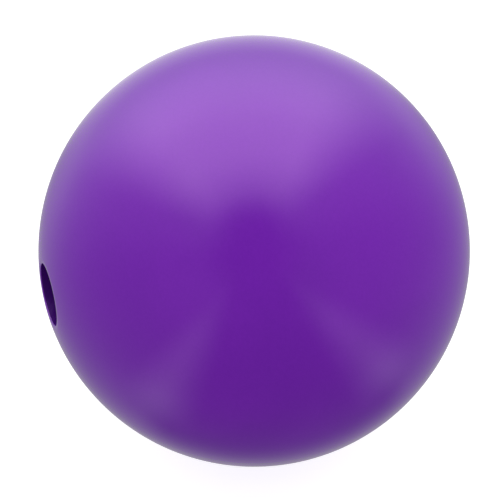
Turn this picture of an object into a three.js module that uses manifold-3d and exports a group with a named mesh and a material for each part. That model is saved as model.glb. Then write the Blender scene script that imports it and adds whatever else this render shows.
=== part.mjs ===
// A three-piece bowling ball, drilled for a fingertip grip: polyester cover, filler core,
// pancake weight block, locator pin and two finger inserts. Millimetres, +Z up.
// The origin is the centre of the ball. The thumb hole is drilled in along the X axis from the
// -X side, and the two finger holes lie above and below the XY plane, towards +Y.
import * as THREE from 'three';
import { mergeVertices } from 'three/addons/utils/BufferGeometryUtils.js';
import Module from 'manifold-3d';

const wasm = await Module();
wasm.setup();

// Driving dimensions: the castings
const BALL_DIAMETER = 217;
const COVER_THICKNESS = 24;
const BLOCK_DIAMETER = 84;
const BLOCK_DEPTH = 26;
const BLOCK_CHAMFER = 3;
const PIN_DIAMETER = 12.7;
const PIN_SEAT_DEPTH = 6;

// Driving dimensions: the drilling. The span runs over the surface from hole edge to hole edge.
const SPAN = 108;
const THUMB_HOLE_DIAMETER = 31;
const THUMB_HOLE_DEPTH = 68;
const THUMB_LIP_RADIUS = 2;
const FINGER_HOLE_DIAMETER = 24.6;
const FINGER_HOLE_DEPTH = 42;
const FINGER_LIP_RADIUS = 1.2;
const FINGER_BRIDGE = 6.4; // material between the finger holes at the surface
const FINGER_WEB = 2.6; // material between them at their bottoms
const DRILL_POINT_HEIGHT = 2;

// Driving dimensions: the finger inserts
const INSERT_BORE_DIAMETER = 20;
const INSERT_LENGTH = 30;
const INSERT_RECESS = 0.4;
const INSERT_LIP_RADIUS = 1;

// Clearance between pieces that are cast, pressed or glued together
const FIT_GAP = 0.3;
// A lip cutter reaches this far into its hole's air, so that it crosses the wall cleanly.
const LIP_OVERLAP = 0.2;
// A lip's arc turns this far before it runs straight out through the surface.
const LIP_TURN = THREE.MathUtils.degToRad(65);
const OVERSHOOT = 4; // how far a cutter stands out past the surface it cuts

// Fineness of the curved faces
const BALL_SEGMENTS = 48;
const CORE_SEGMENTS = 36;
const HOLE_SEGMENTS = 36;
const LIP_STEPS = 4;

// Sizes and places that follow
const ballRadius = BALL_DIAMETER / 2;
const coverInnerRadius = ballRadius - COVER_THICKNESS;
const coreRadius = coverInnerRadius - FIT_GAP;
const thumbRadius = THUMB_HOLE_DIAMETER / 2;
const fingerRadius = FINGER_HOLE_DIAMETER / 2;
const pinRadius = PIN_DIAMETER / 2;
const pinSeatRadius = coreRadius - PIN_SEAT_DEPTH; // distance of the seat's floor from the centre
const spanAngle = (SPAN + thumbRadius + fingerRadius) / ballRadius;

const up = new THREE.Vector3(0, 0, 1);

// A direction in the XY plane, turned by an angle from the thumb hole towards the fingers.
function gripDirection(angle) {
  return new THREE.Vector3(-Math.cos(angle), Math.sin(angle), 0);
}

const fingerDirection = gripDirection(spanAngle);
const labelDirection = gripDirection(spanAngle / 2);

// Manifold-3d works on closed meshes whose shared vertices are merged.
function solidFrom(geometry) {
  geometry.deleteAttribute('normal');
  geometry.deleteAttribute('uv');
  const merged = mergeVertices(geometry, 1e-4);
  const mesh = new wasm.Mesh({
    numProp: 3,
    vertProperties: new Float32Array(merged.attributes.position.array),
    triVerts: new Uint32Array(merged.index.array),
  });
  return new wasm.Manifold(mesh);
}

function meshFrom(name, solid, material) {
  const { vertProperties, triVerts } = solid.getMesh();
  const geometry = new THREE.BufferGeometry();
  geometry.setAttribute('position', new THREE.BufferAttribute(vertProperties, 3));
  geometry.setIndex(new THREE.BufferAttribute(triVerts, 1));
  geometry.computeVertexNormals();
  const mesh = new THREE.Mesh(geometry, material);
  mesh.name = name;
  return mesh;
}

// A sphere about the origin with its poles on Z.
function ball(radius, segments) {
  const geometry = new THREE.SphereGeometry(radius, segments, (segments * 2) / 3);
  geometry.rotateX(Math.PI / 2);
  return solidFrom(geometry);
}

// A profile of [radius, height] points turned about the line from origin along axis.
function turned(profile, origin, axis, segments = HOLE_SEGMENTS) {
  const points = profile.map(([radius, height]) => new THREE.Vector2(radius, height));
  const geometry = new THREE.LatheGeometry(points, segments);
  const yAxis = new THREE.Vector3(0, 1, 0);
  geometry.applyQuaternion(new THREE.Quaternion().setFromUnitVectors(yAxis, axis));
  geometry.translate(origin.x, origin.y, origin.z);
  return solidFrom(geometry);
}

// Points of an arc in a turned profile, from one angle to another about [radius, height].
function arc([radius, height], size, from, to, steps) {
  const points = [];
  for (let i = 0; i <= steps; i += 1) {
    const angle = from + ((to - from) * i) / steps;
    points.push([radius + size * Math.cos(angle), height + size * Math.sin(angle)]);
  }
  return points;
}

// The drilled holes: mouth is the middle of the hole at the surface, outward the drill's axis.
const thumbHole = {
  mouth: gripDirection(0).multiplyScalar(ballRadius),
  outward: gripDirection(0),
  radius: thumbRadius,
  depth: THUMB_HOLE_DEPTH,
  lip: THUMB_LIP_RADIUS,
};

function fingerHole(side) {
  const mouthOffset = (FINGER_HOLE_DIAMETER + FINGER_BRIDGE) / 2;
  const floorOffset = (FINGER_HOLE_DIAMETER + FINGER_WEB) / 2;
  const mouthReach = Math.sqrt(ballRadius ** 2 - mouthOffset ** 2);
  const mouth = fingerDirection.clone().multiplyScalar(mouthReach);
  mouth.addScaledVector(up, side * mouthOffset);
  const floor = fingerDirection.clone().multiplyScalar(mouthReach - FINGER_HOLE_DEPTH);
  floor.addScaledVector(up, side * floorOffset);
  return {
    mouth,
    outward: mouth.clone().sub(floor).normalize(),
    radius: fingerRadius,
    depth: FINGER_HOLE_DEPTH,
    lip: FINGER_LIP_RADIUS,
  };
}

const upperFingerHole = fingerHole(1);
const lowerFingerHole = fingerHole(-1);
const holes = [thumbHole, upperFingerHole, lowerFingerHole];

// The drill's cut: a straight hole with a shallow conical floor.
function drillCut({ mouth, outward, radius, depth }) {
  const profile = [
    [0, -depth],
    [radius, DRILL_POINT_HEIGHT - depth],
    [radius, OVERSHOOT],
    [0, OVERSHOOT],
  ];
  return turned(profile, mouth, outward);
}

// The cut that rounds a hole's edge: an arc from the wall out through a ball of surfaceRadius.
function lipCut(mouth, radius, lip, surfaceRadius) {
  const centreRadius = radius - LIP_OVERLAP + lip;
  const centreHeight = Math.sqrt((surfaceRadius - lip) ** 2 - centreRadius ** 2);
  const rounded = arc([centreRadius, centreHeight], lip, Math.PI, Math.PI - LIP_TURN, LIP_STEPS);
  const [lastRadius, lastHeight] = rounded.at(-1);
  const profile = [
    [0, centreHeight],
    ...rounded,
    [lastRadius + OVERSHOOT * Math.sin(LIP_TURN), lastHeight + OVERSHOOT * Math.cos(LIP_TURN)],
    [0, lastHeight + OVERSHOOT * Math.cos(LIP_TURN)],
  ];
  return turned(profile, new THREE.Vector3(), mouth.clone().normalize());
}

// Everything cast is drilled through in one go, so each piece is cut by every hole it meets.
function drilled(solid) {
  return holes.reduce((cut, hole) => cut.subtract(drillCut(hole)), solid);
}

// A straight plug or socket along the label line, between two distances from the centre.
function labelCylinder(radius, from, to, segments = HOLE_SEGMENTS) {
  const profile = [
    [0, from],
    [radius, from],
    [radius, to],
    [0, to],
  ];
  return turned(profile, new THREE.Vector3(), labelDirection, segments);
}

function coverstock() {
  let shell = ball(ballRadius, BALL_SEGMENTS).subtract(ball(coverInnerRadius, CORE_SEGMENTS));
  shell = drilled(shell);
  for (const { mouth, radius, lip } of holes) {
    shell = shell.subtract(lipCut(mouth, radius, lip, ballRadius));
  }
  return shell.subtract(labelCylinder(pinRadius + FIT_GAP, 0, ballRadius + OVERSHOOT));
}

// The core is cast round the weight block, so it holds a pocket of the block's own size.
function fillerCore() {
  const radius = BLOCK_DIAMETER / 2 + FIT_GAP;
  const floor = coreRadius - BLOCK_DEPTH - FIT_GAP;
  const pocket = labelCylinder(radius, floor, coreRadius + OVERSHOOT, BALL_SEGMENTS);
  return drilled(ball(coreRadius, CORE_SEGMENTS).subtract(pocket));
}

// The block's top is flush with the core round it, and the pin's seat is sunk into it.
function weightBlock() {
  const radius = BLOCK_DIAMETER / 2;
  const floor = coreRadius - BLOCK_DEPTH;
  const profile = [
    [0, floor],
    [radius - BLOCK_CHAMFER, floor],
    [radius, floor + BLOCK_CHAMFER],
    [radius, coreRadius + OVERSHOOT],
    [0, coreRadius + OVERSHOOT],
  ];
  const puck = turned(profile, new THREE.Vector3(), labelDirection, BALL_SEGMENTS);
  const block = puck.intersect(ball(coreRadius, CORE_SEGMENTS));
  const seat = labelCylinder(pinRadius + FIT_GAP, pinSeatRadius, coreRadius + OVERSHOOT);
  return drilled(block.subtract(seat));
}

// The pin fills the hole left by the support that held the block while the cover was cast.
function locatorPin() {
  const plug = labelCylinder(pinRadius, pinSeatRadius + FIT_GAP, ballRadius + OVERSHOOT);
  return plug.intersect(ball(ballRadius, BALL_SEGMENTS));
}

// A soft tube glued into a finger hole and trimmed just under the ball's surface.
function fingerInsert({ mouth, outward, radius }) {
  const boreRadius = INSERT_BORE_DIAMETER / 2;
  const outerRadius = radius - FIT_GAP;
  const profile = [
    [boreRadius, -INSERT_LENGTH],
    [outerRadius, -INSERT_LENGTH],
    [outerRadius, OVERSHOOT],
    [boreRadius, OVERSHOOT],
    [boreRadius, -INSERT_LENGTH],
  ];
  const trimRadius = ballRadius - INSERT_RECESS;
  return turned(profile, mouth, outward)
    .intersect(ball(trimRadius, BALL_SEGMENTS))
    .subtract(lipCut(mouth, boreRadius, INSERT_LIP_RADIUS, trimRadius));
}

const purplePolyester = new THREE.MeshStandardMaterial({
  color: 0x6a2a9e,
  roughness: 0.14,
  metalness: 0,
});
const fillerResin = new THREE.MeshStandardMaterial({
  color: 0xb9ab92,
  roughness: 0.8,
  metalness: 0,
});
const blockResin = new THREE.MeshStandardMaterial({
  color: 0x8c2f2a,
  roughness: 0.6,
  metalness: 0,
});
const pinResin = new THREE.MeshStandardMaterial({
  color: 0xe8e2d2,
  roughness: 0.2,
  metalness: 0,
});
const insertVinyl = new THREE.MeshStandardMaterial({
  color: 0x1c1b1f,
  roughness: 0.6,
  metalness: 0,
});

const group = new THREE.Group();
group.add(meshFrom('coverstock', coverstock(), purplePolyester));
group.add(meshFrom('filler_core', fillerCore(), fillerResin));
group.add(meshFrom('weight_block', weightBlock(), blockResin));
group.add(meshFrom('locator_pin', locatorPin(), pinResin));
group.add(meshFrom('upper_finger_insert', fingerInsert(upperFingerHole), insertVinyl));
group.add(meshFrom('lower_finger_insert', fingerInsert(lowerFingerHole), insertVinyl));

export default group;
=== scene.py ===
import math

import bmesh
import bpy
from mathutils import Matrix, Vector
from mathutils.geometry import delaunay_2d_cdt


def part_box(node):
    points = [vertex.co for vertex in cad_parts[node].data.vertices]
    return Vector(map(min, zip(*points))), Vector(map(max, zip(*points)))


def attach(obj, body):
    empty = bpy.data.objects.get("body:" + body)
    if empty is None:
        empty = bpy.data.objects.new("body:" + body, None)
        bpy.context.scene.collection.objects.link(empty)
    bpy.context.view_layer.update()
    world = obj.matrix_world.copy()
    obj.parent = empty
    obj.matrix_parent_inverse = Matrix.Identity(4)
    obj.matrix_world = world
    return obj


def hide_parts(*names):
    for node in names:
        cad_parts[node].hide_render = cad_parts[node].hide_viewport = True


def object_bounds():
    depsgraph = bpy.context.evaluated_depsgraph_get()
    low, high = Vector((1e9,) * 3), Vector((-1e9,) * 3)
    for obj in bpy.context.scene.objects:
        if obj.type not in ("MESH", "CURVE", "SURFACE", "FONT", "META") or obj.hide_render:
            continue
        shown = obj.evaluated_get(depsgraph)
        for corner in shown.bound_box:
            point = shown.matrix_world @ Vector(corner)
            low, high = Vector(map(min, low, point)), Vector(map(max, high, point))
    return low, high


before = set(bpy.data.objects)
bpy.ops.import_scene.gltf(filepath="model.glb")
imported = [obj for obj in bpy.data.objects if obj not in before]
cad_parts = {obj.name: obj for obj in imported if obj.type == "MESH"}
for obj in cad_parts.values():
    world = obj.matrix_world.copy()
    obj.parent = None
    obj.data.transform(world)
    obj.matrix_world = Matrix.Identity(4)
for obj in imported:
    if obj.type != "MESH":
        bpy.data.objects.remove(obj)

cad_low, cad_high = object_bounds()

MM = 0.001

# Sizes read from the frame
BALL_RADIUS = (cad_high.z - cad_low.z) / 2
CORE_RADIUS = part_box("filler_core")[1].z
PIN_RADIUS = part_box("locator_pin")[1].z

# Sizes of the drilling and the castings, as in the CAD model
COVER_INNER_RADIUS = CORE_RADIUS + 0.3 * MM
SPAN = 108 * MM
THUMB_RADIUS = 15.5 * MM
THUMB_DEPTH = 68 * MM
THUMB_LIP = 0.5 * MM
THUMB_EASING = 10 * MM  # the wide round by which the polish eases the thumb hole's mouth
FINGER_RADIUS = 12.3 * MM
FINGER_DEPTH = 42 * MM
FINGER_LIP = 0.8 * MM
FINGER_EASING = 4 * MM
FINGER_MOUTH_OFFSET = 15.5 * MM
FINGER_FLOOR_OFFSET = 13.6 * MM
INSERT_LENGTH = 30 * MM
INSERT_BORE_RADIUS = 10 * MM
INSERT_RECESS = 0.4 * MM
BLOCK_RADIUS = 42 * MM
BLOCK_DEPTH = 26 * MM
PIN_SEAT_RADIUS = CORE_RADIUS - 6 * MM
DRILL_POINT = 2 * MM
JOINT = 0.04 * MM  # what is left open between pieces that are cast or glued together
EDGE_TURN = math.radians(5)  # how far past the axis a mouth's wide round ends
SHARP_EDGE = math.radians(28)  # the least turn between faces that is drawn as an edge
EASING_STEPS = 8
LIP_STEPS = 10
WALL_STEPS = 8

# The camera's place, seen from the middle of the ball
CAMERA_AZIMUTH = math.radians(-20.9)
CAMERA_ELEVATION = math.radians(33.9)
LENS = 100.0
SENSOR = 36.0
CAMERA_DISTANCE = 6.51 * BALL_RADIUS
FRAME_SHIFT = (-0.0083, 0.0019)


# ---------------------------------------------------------------- directions and hole frames

X_AXIS, Y_AXIS, Z_AXIS = Vector((1, 0, 0)), Vector((0, 1, 0)), Vector((0, 0, 1))


def grip_direction(angle):
    """A direction in the XY plane, turned by an angle from the thumb hole towards the fingers."""
    return Vector((-math.cos(angle), math.sin(angle), 0))


SPAN_ANGLE = (SPAN + THUMB_RADIUS + FINGER_RADIUS) / BALL_RADIUS
FINGER_DIRECTION = grip_direction(SPAN_ANGLE)
LABEL_DIRECTION = grip_direction(SPAN_ANGLE / 2)


def tangents(direction):
    """Two directions at right angles to the given one and to each other, right-handed with it."""
    u = Z_AXIS.cross(direction).normalized()
    return u, direction.cross(u)


class Hole:
    """A round hole in the ball: a turned mouth square to the surface, and a straight wall below
    it that leans over by the drill's tilt. A place in it is a radius and a depth at an angle.
    The mouth is eased by a wide round that ends EDGE_TURN past the axis, and then a small one."""

    def __init__(self, mouth, inward, radius, lip, easing, steps):
        self.radius = radius
        self.steps = steps
        self.direction = mouth.normalized()
        self.u, self.v = tangents(self.direction)
        self.lean = inward / inward.dot(-self.direction) + self.direction
        self.mouth = lip_profile(radius, lip, easing)
        self.wall_start = BALL_RADIUS - self.mouth[-1][1] if lip else 0
        self.rim = self.mouth[0][0]

    def radial(self, angle):
        return self.u * math.cos(angle) + self.v * math.sin(angle)

    def angles(self):
        return [2 * math.pi * i / self.steps for i in range(self.steps)]

    def place(self, radius, depth, angle):
        leaning = self.lean * max(0.0, depth - self.wall_start)
        middle = self.direction * (BALL_RADIUS - depth) + leaning
        return middle + self.radial(angle) * radius

    def depth_on_ball(self, radius, angle, ball_radius):
        """How deep the wall at this radius meets a ball about the origin."""
        top = self.direction * BALL_RADIUS + self.radial(angle) * radius
        start = top - self.lean * self.wall_start
        step = self.lean - self.direction
        a, b, c = step.dot(step), start.dot(step), start.dot(start) - ball_radius**2
        return (-b - math.sqrt(b * b - a * c)) / a


def lip_profile(radius, lip, easing):
    """A mouth from the ball's surface down to the top of the wall, as (radius, height, normal
    across, normal up), with heights from the middle of the ball."""
    if not lip:
        height = math.sqrt(BALL_RADIUS**2 - radius**2)
        return [(radius, height, radius / BALL_RADIUS, height / BALL_RADIUS)]
    sine = math.sin(EDGE_TURN)
    rim = (radius + lip + (easing - lip) * sine) / (1 - easing / BALL_RADIUS)
    height = math.sqrt(BALL_RADIUS**2 - rim**2)
    turn = math.asin(rim / BALL_RADIUS)
    profile = []
    across, up = rim * (1 - easing / BALL_RADIUS), height * (1 - easing / BALL_RADIUS)
    for k in range(EASING_STEPS):
        lean = turn - (turn + EDGE_TURN) * k / EASING_STEPS
        normal = (math.sin(lean), math.cos(lean))
        profile.append((across + easing * normal[0], up + easing * normal[1]) + normal)
    across -= (easing - lip) * sine
    up += (easing - lip) * math.cos(EDGE_TURN)
    for k in range(LIP_STEPS + 1):
        lean = -EDGE_TURN - (math.pi / 2 - EDGE_TURN) * k / LIP_STEPS
        normal = (math.sin(lean), math.cos(lean))
        profile.append((across + lip * normal[0], up + lip * normal[1]) + normal)
    return profile


def finger_hole(side):
    reach = math.sqrt(BALL_RADIUS**2 - FINGER_MOUTH_OFFSET**2)
    mouth = FINGER_DIRECTION * reach + Z_AXIS * side * FINGER_MOUTH_OFFSET
    floor = FINGER_DIRECTION * (reach - FINGER_DEPTH) + Z_AXIS * side * FINGER_FLOOR_OFFSET
    inward = (floor - mouth).normalized()
    return Hole(mouth, inward, FINGER_RADIUS, FINGER_LIP, FINGER_EASING, 96)


THUMB_HOLE = Hole(-X_AXIS * BALL_RADIUS, X_AXIS, THUMB_RADIUS, THUMB_LIP, THUMB_EASING, 120)
UPPER_FINGER_HOLE = finger_hole(1)
LOWER_FINGER_HOLE = finger_hole(-1)
PIN_HOLE = Hole(LABEL_DIRECTION, -LABEL_DIRECTION, PIN_RADIUS + JOINT / 2, 0, 0, 64)


# ---------------------------------------------------------------- mesh building


class Skin:
    """A piece's surface in the making: points, faces, and the true normal at each face corner."""

    def __init__(self):
        self.points = []
        self.faces = []
        self.normals = []

    def add(self, points):
        start = len(self.points)
        self.points.extend(points)
        return list(range(start, len(self.points)))

    def face(self, corners, normals):
        self.faces.append(corners)
        self.normals.extend(normals)

    def band(self, ring, ring_normals, nxt, nxt_normals, flip=False):
        """Quads between two closed rings of as many points. Unflipped, a band that runs down
        from a ring that turns anticlockwise, seen from above, faces out."""
        n = len(ring)
        for i in range(n):
            j = (i + 1) % n
            corners = [ring[j], ring[i], nxt[i], nxt[j]]
            normals = [ring_normals[j], ring_normals[i], nxt_normals[i], nxt_normals[j]]
            if flip:
                corners.reverse()
                normals.reverse()
            self.face(corners, normals)

    def fan(self, ring, normals, centre, centre_normal, flip=False):
        """Triangles from a closed ring to one point. Unflipped, it closes the top."""
        n = len(ring)
        for i in range(n):
            j = (i + 1) % n
            corners = [ring[i], ring[j], centre]
            corner_normals = [normals[i], normals[j], centre_normal]
            if flip:
                corners.reverse()
                corner_normals.reverse()
            self.face(corners, corner_normals)

    def finish(self, name, material):
        mesh = bpy.data.meshes.new(name)
        mesh.from_pydata(self.points, [], self.faces)
        mesh.polygons.foreach_set("use_smooth", [True] * len(mesh.polygons))
        mesh.normals_split_custom_set(self.normals)
        mesh.validate(clean_customdata=False)
        return add_piece(name, mesh, material)


def add_piece(name, mesh, material):
    mesh.materials.clear()
    mesh.materials.append(material)
    piece = bpy.data.objects.new(name, mesh)
    bpy.context.scene.collection.objects.link(piece)
    return piece


def outward_normals(points):
    return [p.normalized() for p in points]


def inward_normals(points):
    return [-p.normalized() for p in points]


def ball_skin(skin, radius, openings, spacing, around, edge_angle=math.radians(64), flip=False):
    """Covers a ball about the origin, apart from the openings: (direction, ring of points) pairs
    that all lie within edge_angle of the label direction. That cap is triangulated between its
    rings, and the rest of the ball is turned about the label direction."""
    pole = LABEL_DIRECTION
    e1, e2 = tangents(pole)
    points = skin.points

    def flat(p):
        d = p.normalized()
        angle = math.acos(max(-1.0, min(1.0, d.dot(pole))))
        across = Vector((d.dot(e1), d.dot(e2)))
        return across.normalized() * angle * radius if across.length > 1e-9 else across

    def on_ball(angle, turn):
        side = e1 * math.cos(turn) + e2 * math.sin(turn)
        return (pole * math.cos(angle) + side * math.sin(angle)) * radius

    turns = [2 * math.pi * i / around for i in range(around)]
    edge = skin.add([on_ball(edge_angle, t) for t in turns])
    rings = [edge] + [ring for _, ring in openings]
    reach = [max(points[i].angle(d) for i in ring) for d, ring in openings]

    inner = []
    row_height = spacing * math.sqrt(3) / 2
    limit = edge_angle * radius
    rows = int(limit / row_height)
    for row in range(-rows, rows + 1):
        offset = spacing / 2 if row % 2 else 0.0
        for column in range(-int(limit / spacing) - 1, int(limit / spacing) + 2):
            at = Vector((column * spacing + offset, row * row_height))
            if at.length > limit - 0.7 * spacing:
                continue
            p = on_ball(at.length / radius, math.atan2(at.y, at.x))
            margin = 0.65 * spacing / radius
            if all(p.angle(d) > r + margin for (d, _), r in zip(openings, reach)):
                inner.append(p)
    inner = skin.add(inner)

    order = [i for ring in rings for i in ring] + inner
    edges, start = [], 0
    ring_of = {}
    for number, ring in enumerate(rings):
        n = len(ring)
        edges += [(start + i, start + (i + 1) % n) for i in range(n)]
        for i in ring:
            ring_of[i] = number
        start += n
    made = delaunay_2d_cdt([flat(points[i]) for i in order], edges, [], 0, 1e-9)
    source = [origins[0] for origins in made[3]]
    for triangle in made[2]:
        corners = [order[source[k]] for k in triangle]
        owners = {ring_of.get(i) for i in corners}
        if len(owners) == 1 and owners != {None} and owners != {0}:
            continue  # inside an opening
        a, b, c = (points[i] for i in corners)
        if ((b - a).cross(c - a).dot(a) < 0) != flip:
            corners.reverse()
        skin.face(corners, [points[i].normalized() * (-1 if flip else 1) for i in corners])

    step = 2 * math.pi * math.sin(edge_angle) / around
    bands = round((math.pi - edge_angle) / step)
    normals_of = inward_normals if flip else outward_normals
    ring = edge
    for k in range(1, bands):
        angle = edge_angle + (math.pi - edge_angle) * k / bands
        nxt = skin.add([on_ball(angle, t) for t in turns])
        ring_normals = normals_of([points[i] for i in ring])
        skin.band(ring, ring_normals, nxt, normals_of([points[i] for i in nxt]), flip)
        ring = nxt
    end = skin.add([-pole * radius])[0]
    end_normal = normals_of([points[end]])[0]
    skin.fan(ring, normals_of([points[i] for i in ring]), end, end_normal, not flip)


# ---------------------------------------------------------------- the pieces


def mouth_rings(skin, hole, collar):
    """A hole's mouth in the cover: rings on the ball round it, from far to near, and the eased
    lip down to the top of the wall. Returns the outermost ring and the wall's top ring."""
    angles = hole.angles()
    profile = []
    for extra in collar:
        radius = hole.rim + extra
        height = math.sqrt(BALL_RADIUS**2 - radius**2)
        profile.append((radius, height, radius / BALL_RADIUS, height / BALL_RADIUS))
    profile += hole.mouth
    first = last = last_normals = None
    for radius, height, across, up in profile:
        ring = skin.add([hole.place(radius, BALL_RADIUS - height, a) for a in angles])
        normals = [hole.radial(a) * across + hole.direction * up for a in angles]
        if first is None:
            first = ring
        else:
            skin.band(last, last_normals, ring, normals, flip=True)
        last, last_normals = ring, normals
    return first, last


def wall_rings(skin, hole, top, ball_radius):
    """The hole's wall, from its top ring down to a ball about the origin."""
    angles = hole.angles()
    normals = [-hole.radial(a) for a in angles]
    ends = [hole.depth_on_ball(hole.radius, a, ball_radius) for a in angles]
    starts = [BALL_RADIUS - skin.points[i].dot(hole.direction) for i in top]
    ring = top
    for k in range(1, WALL_STEPS + 1):
        share = k / WALL_STEPS
        depths = [s + (e - s) * share for s, e in zip(starts, ends)]
        nxt = skin.add([hole.place(hole.radius, d, a) for d, a in zip(depths, angles)])
        skin.band(ring, normals, nxt, normals, flip=True)
        ring = nxt
    return ring


def make_coverstock(material):
    skin = Skin()
    wide = [6 * MM, 3.9 * MM, 2.4 * MM, 1.3 * MM, 0.5 * MM]
    narrow = [0.8 * MM, 0.4 * MM]
    outer, inner = [], []
    for hole, collar in (
        (THUMB_HOLE, wide),
        (UPPER_FINGER_HOLE, narrow),
        (LOWER_FINGER_HOLE, narrow),
        (PIN_HOLE, wide[2:]),
    ):
        rim, top = mouth_rings(skin, hole, collar)
        foot = wall_rings(skin, hole, top, COVER_INNER_RADIUS)
        outer.append((hole.direction, rim))
        middle = sum((skin.points[i] for i in foot), Vector()).normalized()
        inner.append((middle, foot))
    ball_skin(skin, BALL_RADIUS, outer, 2.2 * MM, 256)
    ball_skin(skin, COVER_INNER_RADIUS, inner, 3.2 * MM, 128, flip=True)
    return skin.finish("polyester_coverstock", material)


def turned(name, profile, direction, steps, material=None):
    """A closed solid: [radius, height] points, from the axis and back to it, turned about a
    direction through the origin. A height is a distance from the origin."""
    u, v = tangents(direction)
    angles = [2 * math.pi * i / steps for i in range(steps)]
    points, faces, rings = [], [], []
    for radius, height in profile:
        if radius == 0:
            rings.append([len(points)] * steps)
            points.append(direction * height)
            continue
        rings.append(list(range(len(points), len(points) + steps)))
        for a in angles:
            points.append(direction * height + (u * math.cos(a) + v * math.sin(a)) * radius)
    for low, high in zip(rings, rings[1:]):
        for i in range(steps):
            j = (i + 1) % steps
            corners = [low[i], low[j], high[j], high[i]]
            faces.append(list(dict.fromkeys(corners)))
    mesh = bpy.data.meshes.new(name)
    mesh.from_pydata(points, [], faces)
    return add_piece(name, mesh, material)


def arc_points(centre, size, start, end, steps):
    cx, cy = centre
    return [
        (
            cx + size * math.cos(start + (end - start) * k / steps),
            cy + size * math.sin(start + (end - start) * k / steps),
        )
        for k in range(steps + 1)
    ]


def drill_tool(hole, depth):
    """The solid that a drilled hole takes away below the surface."""
    axis = (hole.direction - hole.lean).normalized()
    tool = turned(
        "drill",
        [(0, -depth), (hole.radius, DRILL_POINT - depth), (hole.radius, 20 * MM), (0, 20 * MM)],
        axis,
        96,
    )
    tool.location = hole.direction * BALL_RADIUS
    return tool


def close_seams(mesh):
    """Merges the hair-thin edges that a cut leaves, and closes what opens by it."""
    work = bmesh.new()
    work.from_mesh(mesh)
    bmesh.ops.triangulate(work, faces=work.faces)
    bmesh.ops.remove_doubles(work, verts=work.verts, dist=0.005 * MM)
    bmesh.ops.dissolve_degenerate(work, dist=0.005 * MM, edges=work.edges)
    rims = [edge for edge in work.edges if edge.is_boundary]
    if rims:
        filled = bmesh.ops.holes_fill(work, edges=rims)
        bmesh.ops.triangulate(work, faces=filled["faces"])
    work.to_mesh(mesh)
    work.free()


def cut(piece, tools):
    """Takes the tools' solids away from the piece, and removes the tools."""
    for tool in tools:
        boolean = piece.modifiers.new("cut", "BOOLEAN")
        boolean.operation = "DIFFERENCE"
        boolean.solver = "EXACT"
        boolean.object = tool
    bpy.context.view_layer.update()
    result = bpy.data.meshes.new_from_object(
        piece.evaluated_get(bpy.context.evaluated_depsgraph_get())
    )
    piece.modifiers.clear()
    material = piece.data.materials[0]
    piece.data = result
    close_seams(result)
    result.materials.clear()
    result.materials.append(material)
    result.polygons.foreach_set("use_smooth", [True] * len(result.polygons))
    result.set_sharp_from_angle(angle=SHARP_EDGE)
    for tool in tools:
        bpy.data.objects.remove(tool)
    return piece


def drills():
    return [
        drill_tool(THUMB_HOLE, THUMB_DEPTH),
        drill_tool(UPPER_FINGER_HOLE, FINGER_DEPTH),
        drill_tool(LOWER_FINGER_HOLE, FINGER_DEPTH),
    ]


def make_core(material):
    radius = COVER_INNER_RADIUS - JOINT
    half = math.pi / 2
    profile = arc_points((0, 0), radius, -half, half, 80)
    profile[0], profile[-1] = (0, -radius), (0, radius)
    core = turned("cast_filler_core", profile, LABEL_DIRECTION, 160, material)
    floor = radius - BLOCK_DEPTH - JOINT
    corner = 3 * MM
    edge = BLOCK_RADIUS + JOINT
    pocket = turned(
        "pocket",
        [(0, floor)]
        + arc_points((edge - corner, floor + corner), corner, -half, 0, 8)
        + [(edge, radius + 5 * MM), (0, radius + 5 * MM)],
        LABEL_DIRECTION,
        144,
    )
    return cut(core, [pocket] + drills())


def make_block(material):
    """A pancake block: a round puck with a rounded foot and a top flush with the core."""
    radius = COVER_INNER_RADIUS - JOINT
    half = math.pi / 2
    floor = radius - BLOCK_DEPTH
    corner = 3 * MM
    rim = math.acos(BLOCK_RADIUS / radius)
    dome = arc_points((0, 0), radius, rim, half, 20)
    dome[-1] = (0, radius)
    block = turned(
        "pancake_weight_block",
        [(0, floor)]
        + arc_points((BLOCK_RADIUS - corner, floor + corner), corner, -half, 0, 8)
        + dome,
        LABEL_DIRECTION,
        144,
        material,
    )
    seat = turned(
        "seat",
        [
            (0, PIN_SEAT_RADIUS),
            (PIN_RADIUS + JOINT, PIN_SEAT_RADIUS),
            (PIN_RADIUS + JOINT, BALL_RADIUS),
            (0, BALL_RADIUS),
        ],
        LABEL_DIRECTION,
        96,
    )
    return cut(block, [seat] + drills())


def make_pin(material):
    """The pin's top is dressed flush with the ball, its edge just broken."""
    foot = PIN_SEAT_RADIUS + JOINT
    edge = 0.12 * MM
    rim_height = math.sqrt(BALL_RADIUS**2 - PIN_RADIUS**2)
    rim = math.acos((PIN_RADIUS - edge) / BALL_RADIUS)
    dome = arc_points((0, 0), BALL_RADIUS, rim, math.pi / 2, 12)
    dome[-1] = (0, BALL_RADIUS)
    pin = turned(
        "cast_locator_pin",
        [(0, foot), (PIN_RADIUS - 0.6 * MM, foot), (PIN_RADIUS, foot + 0.6 * MM)]
        + [(PIN_RADIUS, rim_height - edge)]
        + dome,
        LABEL_DIRECTION,
        96,
        material,
    )
    pin.data.polygons.foreach_set("use_smooth", [True] * len(pin.data.polygons))
    pin.data.set_sharp_from_angle(angle=SHARP_EDGE)
    return pin


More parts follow.
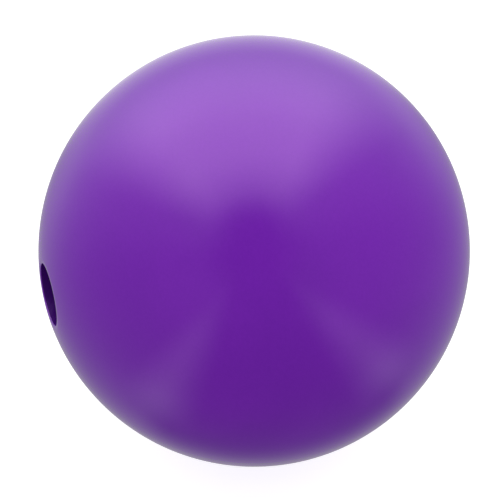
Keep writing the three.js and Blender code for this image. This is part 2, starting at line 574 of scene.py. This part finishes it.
def make_insert(name, hole, material):
    """A moulded sleeve: outer wall with glue grooves, a trimmed top that follows the ball, a
    rounded mouth, grip ribs down the bore and a plain foot."""
    trim = BALL_RADIUS - INSERT_RECESS
    outer = hole.radius - JOINT
    bore = INSERT_BORE_RADIUS
    lip = 1.1 * MM
    rib_height, rib_pitch, ribs, first_rib = 0.4 * MM, 3.1 * MM, 7, 4.2 * MM
    groove_depth, groove_width = 0.35 * MM, 1.2 * MM

    def top_height(radius):
        return math.sqrt(trim**2 - radius**2)

    profile = []  # (radius, depth)
    for start in (24 * MM, 17 * MM, 10 * MM):
        profile += [
            (outer, start + groove_width),
            (outer - groove_depth, start + 0.75 * groove_width),
            (outer - groove_depth, start + 0.25 * groove_width),
            (outer, start),
        ]
    shoulder = BALL_RADIUS - top_height(outer)
    broken = 0.35 * MM
    profile.append((outer, shoulder + broken))
    for k in range(1, 5):
        turn = math.pi / 2 * k / 4
        profile.append(
            (outer - broken * (1 - math.cos(turn)), shoulder + broken * (1 - math.sin(turn)))
        )
    lip_height = math.sqrt((trim - lip) ** 2 - (bore + lip) ** 2)
    start = math.atan2(lip_height, bore + lip)
    for k in range(11):
        turn = start + (math.pi - start) * k / 10
        radius = bore + lip + lip * math.cos(turn)
        profile.append((radius, BALL_RADIUS - lip_height - lip * math.sin(turn)))
    for k in range(ribs * 10 + 1):
        depth = first_rib + rib_pitch * k / 10
        swell = 0.5 - 0.5 * math.cos(2 * math.pi * k / 10)
        profile.append((bore - rib_height * swell, depth))
    profile.append((bore, INSERT_LENGTH - 0.8 * MM))
    profile.append((bore + 0.8 * MM, INSERT_LENGTH))
    profile.append((outer - 0.8 * MM, INSERT_LENGTH))
    profile.append((outer, INSERT_LENGTH - 0.8 * MM))

    steps = hole.steps
    points, faces = [], []
    for radius, depth in profile:
        points += [hole.place(radius, depth, a) for a in hole.angles()]
    count = len(profile)
    for k in range(count):
        low, high = k * steps, ((k + 1) % count) * steps
        for i in range(steps):
            j = (i + 1) % steps
            faces.append((low + i, low + j, high + j, high + i))
    mesh = bpy.data.meshes.new(name)
    mesh.from_pydata(points, [], faces)
    mesh.polygons.foreach_set("use_smooth", [True] * len(mesh.polygons))
    mesh.set_sharp_from_angle(angle=math.radians(50))
    return add_piece(name, mesh, material)


# ---------------------------------------------------------------- materials


class Nodes:
    """Short forms for building a node tree."""

    def __init__(self, tree):
        self.tree = tree
        tree.nodes.clear()

    def add(self, kind, **settings):
        node = self.tree.nodes.new(kind)
        for key, value in settings.items():
            setattr(node, key, value)
        return node

    def link(self, out, into):
        self.tree.links.new(out, into)

    def put(self, socket, value):
        """A socket's value: another node's output, or a plain number, vector or colour."""
        if isinstance(value, bpy.types.NodeSocket):
            self.link(value, socket)
        else:
            socket.default_value = value

    def math(self, operation, *values):
        node = self.add("ShaderNodeMath", operation=operation)
        for socket, value in zip(node.inputs, values):
            self.put(socket, value)
        return node.outputs[0]

    def dot(self, a, b):
        node = self.add("ShaderNodeVectorMath", operation="DOT_PRODUCT")
        self.put(node.inputs[0], a)
        self.put(node.inputs[1], b)
        return node.outputs["Value"]

    def ramp(self, value, low, high, to_low=0.0, to_high=1.0, smooth=True):
        """value, from low to high, drawn as to_low to to_high and held outside them."""
        kind = "SMOOTHSTEP" if smooth else "LINEAR"
        node = self.add("ShaderNodeMapRange", interpolation_type=kind)
        for name, given in (
            ("Value", value),
            ("From Min", low),
            ("From Max", high),
            ("To Min", to_low),
            ("To Max", to_high),
        ):
            self.put(node.inputs[name], given)
        return node.outputs["Result"]

    def mix(self, share, a, b):
        node = self.add("ShaderNodeMix", data_type="RGBA")
        self.put(node.inputs["Factor"], share)
        self.put(node.inputs[6], a)
        self.put(node.inputs[7], b)
        return node.outputs[2]

    def mix_value(self, share, a, b):
        node = self.add("ShaderNodeMix", data_type="FLOAT")
        self.put(node.inputs["Factor"], share)
        self.put(node.inputs[2], a)
        self.put(node.inputs[3], b)
        return node.outputs[0]

    def noise(self, coordinates, scale, detail=2.0, roughness=0.5, distortion=0.0):
        node = self.add("ShaderNodeTexNoise")
        self.link(coordinates, node.inputs["Vector"])
        node.inputs["Scale"].default_value = scale
        node.inputs["Detail"].default_value = detail
        node.inputs["Roughness"].default_value = roughness
        node.inputs["Distortion"].default_value = distortion
        return node.outputs["Fac"]

    def bump(self, height, strength, distance, below=None):
        node = self.add("ShaderNodeBump")
        self.put(node.inputs["Strength"], strength)
        node.inputs["Distance"].default_value = distance
        self.link(height, node.inputs["Height"])
        if below is not None:
            self.link(below, node.inputs["Normal"])
        return node.outputs["Normal"]


def new_material(name):
    """A material with a Principled shader. Returns it, its node helper and its shader."""
    material = bpy.data.materials.new(name)
    material.use_nodes = True
    nodes = Nodes(material.node_tree)
    shader = nodes.add("ShaderNodeBsdfPrincipled")
    output = nodes.add("ShaderNodeOutputMaterial")
    nodes.link(shader.outputs[0], output.inputs["Surface"])
    return material, nodes, shader


def object_coordinates(nodes):
    return nodes.add("ShaderNodeTexCoord").outputs["Object"]


def distance_from_middle(nodes, coordinates):
    node = nodes.add("ShaderNodeVectorMath", operation="LENGTH")
    nodes.link(coordinates, node.inputs[0])
    return node.outputs["Value"]


def drill_marks(nodes, coordinates, hole_axis, pitch):
    """A fine ripple along a drill's axis: the rings that its cutting edges leave on the wall."""
    along = nodes.dot(coordinates, hole_axis)
    turn = nodes.math("MULTIPLY", along, 2 * math.pi / pitch)
    return nodes.math("SINE", turn)


def polyester():
    """Polished purple polyester. Inside the holes the same resin is only drilled and sanded, which
    leaves it rougher and marked by the drill; its colour there is painted darker as shade.
    """
    material, nodes, shader = new_material("polished_purple_polyester")
    at = object_coordinates(nodes)
    cloud = nodes.noise(at, 14.0, 3.0, 0.55, 0.4)
    deep = (0.150, 0.0100, 0.400, 1)
    light = (0.172, 0.0125, 0.440, 1)
    surface = distance_from_middle(nodes, at)
    # Mask for the hole walls below the ball's surface: it carries their real drilled roughness and
    # drill marks, and also painted shade that darkens their colour
    drilled_wall_and_painted_shade = nodes.ramp(surface, BALL_RADIUS - 0.5 * MM, BALL_RADIUS - 1.0 * MM)
    pigment = nodes.noise(at, 800.0, 2.0, 0.6)
    tone = nodes.mix_value(0.45, nodes.ramp(cloud, 0.35, 0.65), nodes.ramp(pigment, 0.3, 0.7))
    resin = nodes.mix(tone, deep, light)
    # Inside the holes the colour is mixed to a much darker purple: painted shade for the recess,
    # not a colour the resin has
    nodes.link(nodes.mix(drilled_wall_and_painted_shade, resin, (0.050, 0.003, 0.17, 1)), shader.inputs["Base Color"])
    polish = nodes.noise(at, 60.0, 4.0, 0.6)
    gloss = nodes.ramp(polish, 0.3, 0.7, 0.105, 0.14)
    nodes.link(nodes.mix_value(drilled_wall_and_painted_shade, gloss, 0.24), shader.inputs["Roughness"])
    haze = nodes.noise(at, 420.0, 2.0, 0.5)
    marks = drill_marks(nodes, at, X_AXIS, 0.7 * MM)
    smooth = nodes.bump(haze, 0.05, 0.02 * MM)
    rough = nodes.bump(marks, nodes.math("MULTIPLY", drilled_wall_and_painted_shade, 0.25), 0.05 * MM, smooth)
    nodes.link(rough, shader.inputs["Normal"])
    shader.inputs["IOR"].default_value = 1.5
    shader.inputs["Specular Tint"].default_value = (1.0, 0.6, 1.0, 1)
    return material


def filler_resin():
    """Cast filler resin with mineral grains and small voids, as the drill leaves it."""
    material, nodes, shader = new_material("cast_filler_resin")
    at = object_coordinates(nodes)
    grains = nodes.noise(at, 900.0, 3.0, 0.6)
    cloud = nodes.noise(at, 40.0, 4.0, 0.6)
    base = nodes.mix(cloud, (0.36, 0.30, 0.21, 1), (0.52, 0.45, 0.33, 1))
    spots = nodes.ramp(grains, 0.58, 0.66)
    nodes.link(nodes.mix(spots, base, (0.18, 0.14, 0.10, 1)), shader.inputs["Base Color"])
    nodes.link(nodes.ramp(cloud, 0.3, 0.7, 0.72, 0.86), shader.inputs["Roughness"])
    marks = drill_marks(nodes, at, X_AXIS, 0.9 * MM)
    pits = nodes.bump(grains, 0.5, 0.12 * MM)
    nodes.link(nodes.bump(marks, 0.25, 0.05 * MM, pits), shader.inputs["Normal"])
    return material


def block_resin():
    """Dense dark-red resin loaded with a heavy pale powder."""
    material, nodes, shader = new_material("dense_block_resin")
    at = object_coordinates(nodes)
    grains = nodes.noise(at, 700.0, 4.0, 0.65)
    cloud = nodes.noise(at, 55.0, 3.0, 0.5)
    base = nodes.mix(cloud, (0.20, 0.022, 0.018, 1), (0.32, 0.045, 0.030, 1))
    powder = nodes.ramp(grains, 0.60, 0.70)
    nodes.link(nodes.mix(powder, base, (0.50, 0.36, 0.30, 1)), shader.inputs["Base Color"])
    nodes.link(nodes.ramp(cloud, 0.3, 0.7, 0.5, 0.68), shader.inputs["Roughness"])
    nodes.link(nodes.bump(grains, 0.35, 0.1 * MM), shader.inputs["Normal"])
    return material


def pin_resin():
    """Ivory resin, faintly marbled, polished together with the ball."""
    material, nodes, shader = new_material("polished_pin_resin")
    at = object_coordinates(nodes)
    marble = nodes.noise(at, 180.0, 5.0, 0.6, 1.2)
    veins = nodes.ramp(marble, 0.42, 0.62)
    nodes.link(
        nodes.mix(veins, (0.80, 0.75, 0.63, 1), (0.68, 0.60, 0.47, 1)), shader.inputs["Base Color"]
    )
    nodes.link(nodes.ramp(marble, 0.3, 0.7, 0.14, 0.2), shader.inputs["Roughness"])
    haze = nodes.noise(at, 420.0, 2.0, 0.5)
    nodes.link(nodes.bump(haze, 0.05, 0.02 * MM), shader.inputs["Normal"])
    shader.inputs["IOR"].default_value = 1.5
    return material


def insert_vinyl():
    """Soft black vinyl with a fine moulded grain and a satin bloom where fingers rub it."""
    material, nodes, shader = new_material("soft_black_vinyl")
    at = object_coordinates(nodes)
    bloom = nodes.noise(at, 90.0, 3.0, 0.55)
    nodes.link(
        nodes.mix(bloom, (0.012, 0.011, 0.014, 1), (0.030, 0.028, 0.034, 1)),
        shader.inputs["Base Color"],
    )
    nodes.link(nodes.ramp(bloom, 0.3, 0.7, 0.42, 0.6), shader.inputs["Roughness"])
    grain = nodes.noise(at, 1600.0, 2.0, 0.5)
    nodes.link(nodes.bump(grain, 0.35, 0.06 * MM), shader.inputs["Normal"])
    shader.inputs["Sheen Weight"].default_value = 0.15
    return material


# ---------------------------------------------------------------- studio

CAMERA_BACK = Vector(
    (
        math.sin(CAMERA_AZIMUTH) * math.cos(CAMERA_ELEVATION),
        -math.cos(CAMERA_AZIMUTH) * math.cos(CAMERA_ELEVATION),
        math.sin(CAMERA_ELEVATION),
    )
)
TENT_FRONT = CAMERA_BACK.normalized()  # the open side of the light tent
TENT_LEAN = math.radians(7.5)  # its ceiling leans a little to the left

# How bright the tent's regions are
CEILING_LIGHT = 4.0
CEILING_FAR_SHARE = 0.25
BACK_TOP_LIGHT = 0.9
WALL_TOP_LIGHT = 0.95
WALL_FOOT_LIGHT = 0.45
TABLE_LIGHT = 0.22
SEAM_LIGHT = 0.6
FRONT_LIGHT = 0.16
MATT_TOP_LIGHT = 1.4
MATT_LOW_LIGHT = 0.4

# Where they meet, in degrees round from the ceiling (0) to the floor (180)
CEILING_EDGE = (62, 28)
WALL_FADE = (45, 95)
TABLE_EDGE = (136, 148)
SEAM_TURN = 140
SEAM_REACH = 16

# And in degrees from the open front (0) to the back (180)
FRONT_EDGE = (8, 32)
CEILING_RISE = (4, 55)
CEILING_FALL = (75, 130)
SEAM_RISE = (20, 60)
SEAM_FALL = (125, 95)
BACK_EDGE = (120, 155)

FLOOR_RADIUS = 40.0
FLOOR_DROP = 0.05 * MM
FLOOR_TONE = 0.45
FLOOR_GLOW = 0.83


def tent_axes():
    right = Z_AXIS.cross(TENT_FRONT).normalized()
    up = TENT_FRONT.cross(right)
    lean_up = up * math.cos(TENT_LEAN) - right * math.sin(TENT_LEAN)
    lean_right = right * math.cos(TENT_LEAN) + up * math.sin(TENT_LEAN)
    return lean_right, lean_up


def make_camera():
    data = bpy.data.cameras.new("camera")
    data.lens = LENS
    data.sensor_width = SENSOR
    data.shift_x, data.shift_y = FRAME_SHIFT
    camera = bpy.data.objects.new("camera", data)
    bpy.context.scene.collection.objects.link(camera)
    camera.location = CAMERA_BACK * CAMERA_DISTANCE
    camera.rotation_mode = "QUATERNION"
    camera.rotation_quaternion = (-CAMERA_BACK).to_track_quat("-Z", "Y")
    data.clip_start, data.clip_end = 0.01, 100
    bpy.context.scene.camera = camera


def make_world():
    """A plain white light tent round the ball, as its polish shows it: a bright ceiling, dimmer
    sides with a bright seam at their foot, a dark table top and a dark open front. Matt surfaces
    get a soft light from above."""
    world = bpy.data.worlds.new("light_tent")
    bpy.context.scene.world = world
    world.use_nodes = True
    nodes = Nodes(world.node_tree)
    towards = nodes.add("ShaderNodeTexCoord").outputs["Generated"]
    right, up = tent_axes()
    x, y, z = (nodes.dot(towards, axis) for axis in (right, up, TENT_FRONT))
    turn = nodes.math("ABSOLUTE", nodes.math("ARCTAN2", x, y))  # 0 at the ceiling, pi at the floor
    polar = nodes.math("ARCCOSINE", z)  # 0 at the open front, pi at the back

    def ramp(angle, edge, to_low=0.0, to_high=1.0):
        low, high = edge
        return nodes.ramp(angle, math.radians(low), math.radians(high), to_low, to_high)

    wall = ramp(turn, WALL_FADE, WALL_TOP_LIGHT, WALL_FOOT_LIGHT)
    sides = nodes.mix_value(ramp(turn, TABLE_EDGE), wall, TABLE_LIGHT)
    off_seam = nodes.math("ABSOLUTE", nodes.math("SUBTRACT", turn, math.radians(SEAM_TURN)))
    seam = ramp(off_seam, (0, SEAM_REACH), SEAM_LIGHT, 0.0)
    seam_length = nodes.math("MULTIPLY", ramp(polar, SEAM_RISE), ramp(polar, SEAM_FALL))
    sides = nodes.math("ADD", sides, nodes.math("MULTIPLY", seam, seam_length))
    ceiling_share = ramp(turn, CEILING_EDGE)
    ceiling_near = ramp(polar, CEILING_RISE, 0.0, CEILING_LIGHT)
    ceiling_far = ramp(polar, CEILING_FALL, 1.0, CEILING_FAR_SHARE)
    ceiling = nodes.math("MULTIPLY", ceiling_near, ceiling_far)
    around = nodes.mix_value(ceiling_share, sides, ceiling)
    inside = nodes.mix_value(ramp(polar, FRONT_EDGE), FRONT_LIGHT, around)
    back_light = nodes.mix_value(ceiling_share, WALL_FOOT_LIGHT, BACK_TOP_LIGHT)
    mirrored = nodes.mix_value(ramp(polar, BACK_EDGE), inside, back_light)

    height = nodes.dot(towards, TENT_FRONT.cross(Z_AXIS.cross(TENT_FRONT).normalized()))
    from_above = nodes.ramp(height, -1.0, 1.0, MATT_LOW_LIGHT, MATT_TOP_LIGHT, smooth=False)

    path = nodes.add("ShaderNodeLightPath")
    level = nodes.mix_value(path.outputs["Is Glossy Ray"], from_above, mirrored)
    level = nodes.mix_value(path.outputs["Is Camera Ray"], level, 1.0)
    background = nodes.add("ShaderNodeBackground")
    background.inputs["Color"].default_value = (1, 1, 1, 1)
    nodes.link(level, background.inputs["Strength"])
    output = nodes.add("ShaderNodeOutputWorld")
    nodes.link(background.outputs[0], output.inputs["Surface"])
    world.cycles.sampling_method = "NONE"


def make_floor():
    """A wide round lit table top, just under the ball."""
    steps = 96
    height = cad_low.z - FLOOR_DROP
    points = [(0, 0, height)] + [
        (
            FLOOR_RADIUS * math.cos(2 * math.pi * i / steps),
            FLOOR_RADIUS * math.sin(2 * math.pi * i / steps),
            height,
        )
        for i in range(steps)
    ]
    faces = [(0, 1 + i, 1 + (i + 1) % steps) for i in range(steps)]
    mesh = bpy.data.meshes.new("floor")
    mesh.from_pydata(points, [], faces)
    material, nodes, shader = new_material("white_table")
    shader.inputs["Base Color"].default_value = (FLOOR_TONE, FLOOR_TONE, FLOOR_TONE, 1)
    shader.inputs["Roughness"].default_value = 0.9
    shader.inputs["Specular IOR Level"].default_value = 0.0
    shader.inputs["Emission Color"].default_value = (1, 1, 1, 1)
    shader.inputs["Emission Strength"].default_value = FLOOR_GLOW
    floor = add_piece("floor", mesh, material)
    floor.visible_diffuse = False
    floor.visible_glossy = False


def stand_for(piece, node):
    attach(piece, "root")
    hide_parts(node)


make_camera()
make_world()
make_floor()
stand_for(make_coverstock(polyester()), "coverstock")
stand_for(make_core(filler_resin()), "filler_core")
stand_for(make_block(block_resin()), "weight_block")
stand_for(make_pin(pin_resin()), "locator_pin")
vinyl = insert_vinyl()
for insert_name, insert_hole in (
    ("upper_finger_insert", UPPER_FINGER_HOLE),
    ("lower_finger_insert", LOWER_FINGER_HOLE),
):
    sleeve = make_insert("moulded_" + insert_name, insert_hole, vinyl)
    stand_for(sleeve, insert_name)

bpy.context.scene.view_settings.view_transform = "Standard"
bpy.context.scene.view_settings.look = "None"
